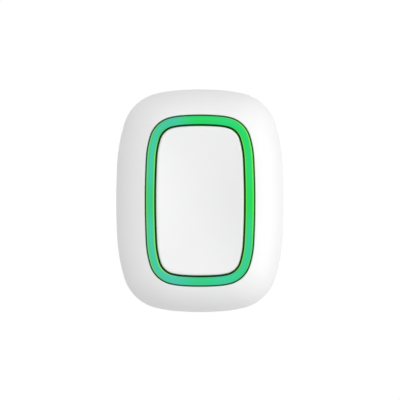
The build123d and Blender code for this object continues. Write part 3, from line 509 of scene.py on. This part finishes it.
def ring_glow():
    """The ring's light by place: green at the upper right and teal at the lower left,
    with less blue in each green place. Where the crest turns to either side it loses
    its blue too, and where it turns to either end it gains some red. A painted yellow
    highlight is added where it faces left, and a stronger one where it faces right and a
    little up, but that one is dim at the lower right and the upper left corner."""
    group, given, result = effect("ring_glow", {
        "Green": (0.014, 0.66, 0.17),
        "Teal Right": (0.030, 0.590, 0.31),
        "Teal Left": (0.048, 0.555, 0.385),
        "Less Blue": (0.65, 1.0, 0.68),
        "To Side": (1.2, 0.98, 0.44),
        "To End": (1.55, 0.92, 1.0),
        # Painted highlights: yellow lamp light reflected on the crest's rounded edges
        "Edge": (0.15, 0.17, 0.01),
        "Dim Edge": (0.05, 0.08, 0.03),
        "Strength": 1.0,
    }, {"Colour": "NodeSocketColor"})
    nodes, links = group.nodes, group.links
    place = nodes.new("ShaderNodeTexCoord")

    def spread(value, start, stop, whole=1):
        """A soft share of how far a value is from a start to a stop."""
        reach = nodes.new("ShaderNodeMapRange")
        reach.interpolation_type = "SMOOTHSTEP"
        reach.inputs["From Min"].default_value = start
        reach.inputs["From Max"].default_value = stop
        reach.inputs["To Max"].default_value = whole
        links.new(value, reach.inputs["Value"])
        return reach.outputs["Result"]

    def blended(share, here, there, how="MIX"):
        """One colour that gives way to another, or that another works on."""
        mix = nodes.new("ShaderNodeMix")
        mix.data_type = "RGBA"
        mix.blend_type = how
        links.new(share, mix.inputs["Factor"])
        links.new(here, mix.inputs["A"])
        links.new(there, mix.inputs["B"])
        return mix.outputs["Result"]

    def along(what, x, y):
        """How far a point lies, or faces, in a direction across the button."""
        slant = nodes.new("ShaderNodeVectorMath")
        slant.operation = "DOT_PRODUCT"
        slant.inputs[1].default_value = (x, y, 0)
        links.new(place.outputs[what], slant.inputs[0])
        return slant.outputs["Value"]

    def away_from(x, y):
        """How far a point is from a place on the crest."""
        away = nodes.new("ShaderNodeVectorMath")
        away.operation = "DISTANCE"
        away.inputs[1].default_value = (x * MM, y * MM, RING_TOP * MM)
        links.new(place.outputs["Object"], away.inputs[0])
        return away.outputs["Value"]

    to_left = spread(along("Object", -1, 0), BLUER_TO_LEFT[0] * MM, BLUER_TO_LEFT[1] * MM)
    teal = blended(to_left, given.outputs["Teal Right"], given.outputs["Teal Left"])
    lower_left = along("Object", *TO_LOWER_LEFT)
    to_teal = spread(lower_left, GREEN_TO_TEAL[0] * MM, GREEN_TO_TEAL[1] * MM)
    shade = blended(to_teal, given.outputs["Green"], teal)
    for x, y, whole in GREEN_PLACES:
        near = spread(away_from(x, y), GREEN_REACH * MM, GREEN_CORE * MM, whole)
        shade = blended(near, shade, given.outputs["Less Blue"], "MULTIPLY")
    facing = nodes.new("ShaderNodeSeparateXYZ")
    links.new(place.outputs["Normal"], facing.inputs[0])
    to_right, to_top = facing.outputs["X"], facing.outputs["Y"]
    for way, colour in ((to_right, "To Side"), (to_top, "To End")):
        for sign in (1, -1):
            turned = spread(way, sign * TURNED[0], sign * TURNED[1])
            shade = blended(turned, shade, given.outputs[colour], "MULTIPLY")
    # The yellow edges added from here on are painted highlights of the lamps' light
    highlight = given.outputs["Edge"]
    left_highlight = spread(to_right, *HIGHLIGHT_TO_LEFT, HIGHLIGHT_TO_LEFT_SHARE)
    shade = blended(left_highlight, shade, highlight, "ADD")
    for x, y, reach in DIM_HIGHLIGHT_PLACES:
        far = spread(away_from(x, y), DIM_CORE * reach * MM, reach * MM)
        highlight = blended(far, given.outputs["Dim Edge"], highlight)
    right_highlight = spread(along("Normal", *TO_UPPER_RIGHT), *HIGHLIGHT_TO_RIGHT)
    shade = blended(right_highlight, shade, highlight, "ADD")
    level = nodes.new("ShaderNodeVectorMath")
    level.operation = "SCALE"
    links.new(shade, level.inputs[0])
    links.new(given.outputs["Strength"], level.inputs["Scale"])
    links.new(level.outputs["Vector"], result.inputs["Colour"])
    return group


GLOW = ring_glow()


def light_guide(name, base, strength):
    """A face of the ring, lit from within."""
    material = moulded(
        name, base, base, grain=4, smoothest=0.25, roughest=0.4, relief=0.08
    )
    nodes, links = material.node_tree.nodes, material.node_tree.links
    surface = nodes["Principled BSDF"]
    surface.inputs["Specular IOR Level"].default_value = 0.12
    glow = nodes.new("ShaderNodeGroup")
    glow.node_tree = GLOW
    glow.inputs["Strength"].default_value = strength
    links.new(glow.outputs["Colour"], surface.inputs["Emission Color"])
    surface.inputs["Emission Strength"].default_value = 1
    return material


# The walls, flange and legs glow at a seventh of the crest's light and are darker: partly
# their clear moulding, partly painted shade that darkens the seams
ring_crest = light_guide("ring_crest", (0.002, 0.03, 0.01), 1.0)
ring_wall = light_guide("ring_wall", (0.004, 0.02, 0.003), 0.14)
ring_rings = [
    ring_at(grown(PAD, RING_INNER), RING_LOW),
    ring_at(grown(PAD, RING_FLANGE), RING_LOW),
    ring_at(grown(PAD, RING_FLANGE), LIP_LOW),
    ring_at(grown(PAD, RING_INNER + RING_WIDTH), LIP_LOW),
]
for step in range(CREST_STEPS + 1):
    turn = pi * step / CREST_STEPS
    by = RING_INNER + RING_WIDTH * (1 + cos(turn)) / 2
    ring_rings.append(ring_at(grown(PAD, by), RING_TOP - CREST_RISE * (1 - sin(turn))))
ring_slots = [WALL] * 4 + [CREST] * CREST_STEPS + [WALL]
guide = bmesh.new()
skin(guide, ring_rings, closed=True, slots=ring_slots)
light_ring = finished("glowing_ring", guide, ring_crest, ring_wall, sharp=RING_SHARP)

# Four legs reach down to the light sources
LEG_X, LEG_Y, LEG_LOW, LEG_TOP = 11.64, 18.14, 7.9, 13.4
LEG_HALF_THICK, LEG_HALF_WIDE = 0.5, 1.5
for x, y in ((LEG_X, 0), (-LEG_X, 0), (0, LEG_Y), (0, -LEG_Y)):
    half_x, half_y = LEG_HALF_WIDE, LEG_HALF_THICK
    if x:
        half_x, half_y = half_y, half_x
    low = (x - half_x, y - half_y, LEG_LOW)
    high = (x + half_x, y + half_y, LEG_TOP)
    cut(light_ring, block("ring_leg", ring_wall, low, high), "UNION")
smoothed(light_ring, RING_SHARP)
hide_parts("light_ring")
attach(light_ring, "body")

# Push pad: a white moulding with a shallow dish for the thumb, a rounded rim, and a
# trapped flange below. It slides down onto the switch. The walls that face the ring
# are a dark green: painted shade for the deep seams, tinted by the ring's light.
PAD_TOP, PAD_LOW, PAD_FLANGE_TOP, PAD_HOLLOW_TOP = 15.7, 12.1, 12.95, 13.4
PAD_EDGE, PAD_EDGE_STEPS, PAD_DISH, DISH_RINGS = 0.4, 6, 1.0, 24
PAD_FLANGE = grown(PAD, 1.0)
PAD_HOLLOW = grown(PAD, -1.2)
PAD_RIM = grown(PAD, -PAD_EDGE)
PLAIN, PAINTED_SHADE = 0, 1


def dish_height(x, y):
    """The pad's top by place: full height at its rim and deepest in the middle."""
    across = max(0, 1 - (x / PAD_RIM[0]) ** 2)
    along = max(0, 1 - (y / PAD_RIM[1]) ** 2)
    return PAD_TOP - PAD_DISH * across * along


pad_white = moulded("pad_white", WHITE, WHITE_SHADE)
# Painted shade: a dark green on the walls in the deep seams round the ring, for the shade
# there and the ring's green light in it
painted_gap_shade = moulded(
    "painted_gap_shade", (0.035, 0.19, 0.015), (0.045, 0.21, 0.02),
    grain=6, smoothest=0.6, roughest=0.8, relief=0.1,
)
pad_rings = [
    ring_at(PAD_HOLLOW, PAD_HOLLOW_TOP),
    ring_at(PAD_HOLLOW, PAD_LOW),
    ring_at(PAD_FLANGE, PAD_LOW),
    ring_at(PAD_FLANGE, PAD_FLANGE_TOP),
    ring_at(PAD, PAD_FLANGE_TOP),
]
for step in range(PAD_EDGE_STEPS + 1):
    turn = pi / 2 * step / PAD_EDGE_STEPS
    inner = grown(PAD, -PAD_EDGE * (1 - cos(turn)))
    pad_rings.append(ring_at(inner, PAD_TOP - PAD_EDGE * (1 - sin(turn))))
rim = around(PAD_RIM)
for step in range(1, DISH_RINGS):
    share = 1 - step / DISH_RINGS
    dish_round = [(x * share, y * share) for x, y in rim]
    pad_rings.append([(x, y, dish_height(x, y)) for x, y in dish_round])
# The flange's top and the wall up to the rounded rim carry the painted shade
pad_slots = [PLAIN] * 3 + [PAINTED_SHADE] * 2 + [PLAIN] * (len(pad_rings) - 6)
hollow_middle, dish_middle = (0, 0, PAD_HOLLOW_TOP), (0, 0, dish_height(0, 0))
cap = bmesh.new()
skin(cap, pad_rings, floor=hollow_middle, roof=dish_middle, slots=pad_slots)
push_pad = finished("push_pad", cap, pad_white, painted_gap_shade)
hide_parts("button_cap")
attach(push_pad, "pad")

# Front housing: the domed white shell round the ring, moulded with a soft crown and a
# small radius at its opening. It snaps over the cover's skirt.
OPENING = grown(PAD, 2.37)
LIP_TOP, LIP_EDGE, LIP_EDGE_STEPS = 15.55, 0.15, 8
LIP_INNER = grown(PAD, 3.2)
FOOT_EDGE, FOOT_HALFWAY = 0.12, 0.035
SEAL_STEP = grown(BODY, -0.8)
SEAL_STEP_TOP, HOUSING_WALL_TOP = 7.2, 8.7
HOUSING_INNER = grown(BODY, -1.5)
HOUSING_ROOF = grown(HOUSING_INNER, -2.6)
DOME_TURN, DOME_STEPS = radians(70.5), 30
BAND = BODY[0] - OPENING[0]
DOME_RISE = LIP_TOP - PARTING


def toward_opening(inset):
    """The dome's outline at an inset from the body's own outline."""
    share = inset / BAND
    return tuple(a + share * (b - a) for a, b in zip(BODY, OPENING))


def dome_turn(inset):
    """How far round the dome's section an inset is."""
    return acos(1 - inset / BAND * (1 - cos(DOME_TURN)))


def dome_ring(turn):
    """The dome's outline where its section has turned so far."""
    inset = BAND * (1 - cos(turn)) / (1 - cos(DOME_TURN))
    height = PARTING + DOME_RISE * sin(turn) / sin(DOME_TURN)
    return ring_at(toward_opening(inset), height)


def dome_facing(turn):
    """How steeply the dome faces up there."""
    out = DOME_RISE / sin(DOME_TURN) * cos(turn)
    up = BAND / (1 - cos(DOME_TURN)) * sin(turn)
    return atan2(up, out)


housing_white = moulded("housing_white", WHITE, WHITE_SHADE)
foot_turn = asin(FOOT_EDGE * sin(DOME_TURN) / DOME_RISE)
last_turn = dome_turn(BAND - LIP_EDGE * (1 + cos(dome_facing(DOME_TURN))))
dome_rings = [
    ring_at(grown(BODY, -FOOT_EDGE), PARTING),
    ring_at(grown(BODY, -FOOT_HALFWAY), PARTING + FOOT_HALFWAY),
]
for step in range(DOME_STEPS + 1):
    dome_rings.append(dome_ring(foot_turn + (last_turn - foot_turn) * step / DOME_STEPS))
lip_facing = dome_facing(last_turn)
lip_height = dome_rings[-1][0][2] - LIP_EDGE * sin(lip_facing)
for step in range(1, LIP_EDGE_STEPS + 1):
    turn = lip_facing + (pi - lip_facing) * step / LIP_EDGE_STEPS
    outline = toward_opening(BAND - LIP_EDGE - LIP_EDGE * cos(turn))
    dome_rings.append(ring_at(outline, lip_height + LIP_EDGE * sin(turn)))
outer_bands = len(dome_rings) - 1
dome_rings += [
    ring_at(OPENING, LIP_LOW),
    ring_at(LIP_INNER, LIP_LOW),
    ring_at(LIP_INNER, RING_LOW),
    ring_at(HOUSING_ROOF, RING_LOW),
    ring_at(HOUSING_INNER, HOUSING_WALL_TOP),
    ring_at(HOUSING_INNER, SEAL_STEP_TOP),
    ring_at(SEAL_STEP, SEAL_STEP_TOP),
    ring_at(SEAL_STEP, PARTING),
]
inner_bands = len(dome_rings) - outer_bands - 1
# The opening's wall under the lip carries the painted shade
dome_slots = [PLAIN] * outer_bands + [PAINTED_SHADE] + [PLAIN] * inner_bands
dome = bmesh.new()
skin(dome, dome_rings, closed=True, slots=dome_slots)
front_housing = finished("front_shell", dome, housing_white, painted_gap_shade)
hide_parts("front_housing")
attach(front_housing, "body")

# The studio: a pale floor that runs on without an edge, even light all round, a broad
# lamp low on the right, a weaker one above, and a long lens over the button, a quarter
# of a degree off its axis.
FLOOR_REACH, FLOOR_LOW, FLOOR_TOP = 3000, -1, -0.001
FLOOR_GREY = (0.5, 0.5, 0.5, 1)
FLOOR_WHITE, FLOOR_SEEN = 1.06, 0.92
SKY_LEVEL, SKY_SEEN = 0.77, 1
LAMPS = (
    ("right_lamp", 1.19, (0.97, 0.0, 0.22)),
    ("upper_lamp", 0.545, (0.0, 0.47, 0.88)),
)
LAMP_SPREAD = radians(40)
CAMERA_PLACE = (-7.663, -2.544, PARTING + 1876.9)
CAMERA_TILT = (0.00144, -0.0041, 0)


def white_share(nodes, links, to_camera):
    """How far a ray meets plain white: the camera's, and those in gloss and in clear
    parts."""
    rays = nodes.new("ShaderNodeLightPath")
    seen = nodes.new("ShaderNodeMath")
    seen.operation = "MULTIPLY"
    seen.inputs[1].default_value = to_camera
    links.new(rays.outputs["Is Camera Ray"], seen.inputs[0])
    share = seen.outputs[0]
    for kind in ("Is Glossy Ray", "Is Transmission Ray"):
        either = nodes.new("ShaderNodeMath")
        either.operation = "MAXIMUM"
        links.new(share, either.inputs[0])
        links.new(rays.outputs[kind], either.inputs[1])
        share = either.outputs[0]
    return share


floor_paint = bpy.data.materials.new("floor_paint")
floor_paint.use_nodes = True
floor_nodes, floor_links = floor_paint.node_tree.nodes, floor_paint.node_tree.links
floor_surface = floor_nodes["Principled BSDF"]
floor_surface.inputs["Base Color"].default_value = FLOOR_GREY
floor_surface.inputs["Roughness"].default_value = 0.9
floor_surface.inputs["Specular IOR Level"].default_value = 0.0
floor_white = floor_nodes.new("ShaderNodeEmission")
floor_white.inputs["Strength"].default_value = FLOOR_WHITE
floor_mix = floor_nodes.new("ShaderNodeMixShader")
floor_share = white_share(floor_nodes, floor_links, FLOOR_SEEN)
floor_out = floor_nodes["Material Output"]
floor_links.new(floor_share, floor_mix.inputs["Fac"])
floor_links.new(floor_surface.outputs["BSDF"], floor_mix.inputs[1])
floor_links.new(floor_white.outputs["Emission"], floor_mix.inputs[2])
floor_links.new(floor_mix.outputs["Shader"], floor_out.inputs["Surface"])
floor_near = (-FLOOR_REACH, -FLOOR_REACH, FLOOR_LOW)
floor_far = (FLOOR_REACH, FLOOR_REACH, FLOOR_TOP)
floor = block("floor", floor_paint, floor_near, floor_far)

scene = bpy.context.scene
scene.world = bpy.data.worlds.new("studio")
scene.world.use_nodes = True
sky_nodes, sky_links = scene.world.node_tree.nodes, scene.world.node_tree.links
sky_light = sky_nodes["Background"]
sky_light.inputs["Color"].default_value = (1, 1, 1, 1)
sky_light.inputs["Strength"].default_value = SKY_LEVEL
sky_white = sky_nodes.new("ShaderNodeBackground")
sky_white.inputs["Color"].default_value = (1, 1, 1, 1)
sky_mix = sky_nodes.new("ShaderNodeMixShader")
sky_share = white_share(sky_nodes, sky_links, SKY_SEEN)
sky_out = sky_nodes["World Output"]
sky_links.new(sky_share, sky_mix.inputs["Fac"])
sky_links.new(sky_light.outputs["Background"], sky_mix.inputs[1])
sky_links.new(sky_white.outputs["Background"], sky_mix.inputs[2])
sky_links.new(sky_mix.outputs["Shader"], sky_out.inputs["Surface"])

for name, strength, direction in LAMPS:
    lamp = bpy.data.lights.new(name, "SUN")
    lamp.energy = strength
    lamp.angle = LAMP_SPREAD
    lamp_holder = bpy.data.objects.new(name, lamp)
    lamp_holder.rotation_euler = Vector(direction).to_track_quat("Z", "Y").to_euler()
    scene.collection.objects.link(lamp_holder)

camera_data = bpy.data.cameras.new("camera")
camera_data.lens = 800
camera_data.sensor_width = 36
camera_data.clip_end = 20
camera = bpy.data.objects.new("camera", camera_data)
camera.location = [value * MM for value in CAMERA_PLACE]
camera.rotation_euler = CAMERA_TILT
scene.collection.objects.link(camera)
scene.camera = camera
scene.view_settings.view_transform = "Standard"

bpy.context.view_layer.update()
